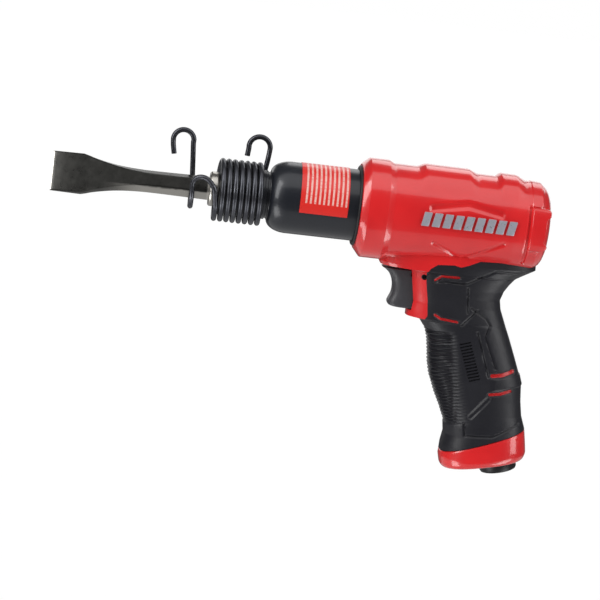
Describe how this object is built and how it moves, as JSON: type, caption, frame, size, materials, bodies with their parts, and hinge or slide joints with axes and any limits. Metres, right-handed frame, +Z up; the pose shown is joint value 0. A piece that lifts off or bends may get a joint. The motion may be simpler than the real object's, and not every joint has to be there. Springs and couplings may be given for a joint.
{
  "type": "pneumatic air hammer",
  "caption": "Pistol-grip pneumatic hammer with a red die-cast housing, a black barrel, a coil-spring bit retainer with thumb hooks and a flat chisel.",
  "frame": {"origin": "on the barrel's axis, at the flat centre of the housing's rear face", "axes": "+Z up, barrel axis along X with the chisel towards -X, +Y to the side away from the barrel label"},
  "size_m": [0.2786, 0.0528, 0.172],
  "materials": {
    "red_paint": "gloss red enamel",
    "grip_rubber": "matt moulded rubber",
    "felt": "pressed felt",
    "silver_badge": "satin",
    "black_oxide": "black oxide",
    "brass": "machined",
    "black_barrel": "satin black coating",
    "nitrile": "smooth",
    "label_red": "satin printed film",
    "bright_steel": "ground",
    "chisel_steel": "forged and oil-blackened",
    "spring_steel": "dark oil-tempered",
    "trigger_plastic": "satin grey"
  },
  "bodies": {
    "hammer_body": {"housing": "red_paint", "rubber_grip": "grip_rubber", "base_collar": "red_paint", "exhaust_muffler": "felt", "badge_left": "silver_badge", "badge_right": "silver_badge", "inlet_bushing": "black_oxide", "inlet_screen": "brass", "barrel": "black_barrel", "front_bumper_ring": "nitrile", "barrel_oring": "nitrile", "barrel_lock_screw": "black_oxide", "barrel_label": "label_red", "valve_block": "bright_steel", "valve_cap": "bright_steel", "rear_buffer": "nitrile", "trigger_pin": "black_oxide", "throttle_bushing": "brass", "throttle_bushing_oring": "nitrile", "throttle_spring": "bright_steel"},
    "trigger": {"trigger": "trigger_plastic"},
    "throttle_valve": {"throttle_stem": "bright_steel", "throttle_seat": "nitrile"},
    "valve_disc": {"valve_disc": "bright_steel"},
    "piston": {"piston": "bright_steel"},
    "chisel": {"chisel": "chisel_steel"},
    "retainer": {"retainer_spring": "spring_steel"}
  },
  "joints": [
    {"name": "trigger_slide", "type": "slide", "parent": "hammer_body", "child": "trigger", "axis": [1, 0, 0], "range_m": [0, 0.0042], "stiffness_N_per_m": 1500, "springref_m": -0.004},
    {"name": "throttle_slide", "type": "slide", "parent": "hammer_body", "child": "throttle_valve", "axis": [1, 0, 0], "range_m": [0, 0.0042], "stiffness_N_per_m": 500, "springref_m": -0.004, "deforming": ["throttle_spring"]},
    {"name": "valve_disc_slide", "type": "slide", "parent": "hammer_body", "child": "valve_disc", "axis": [1, 0, 0], "range_m": [0, 0.0015]},
    {"name": "piston_slide", "type": "slide", "parent": "hammer_body", "child": "piston", "axis": [-1, 0, 0], "range_m": [0, 0.078]},
    {"name": "chisel_slide", "type": "slide", "parent": "hammer_body", "child": "chisel", "axis": [-1, 0, 0], "range_m": [0, 0.007]},
    {"name": "retainer_turn", "type": "hinge", "parent": "hammer_body", "child": "retainer", "pos_m": [-0.17, 0, 0], "axis": [-1, 0, 0], "range_deg": [0, 60]}
  ],
  "couplings": [
    {"joint": "throttle_slide", "follows": "trigger_slide", "ratio": 1}
  ]
}
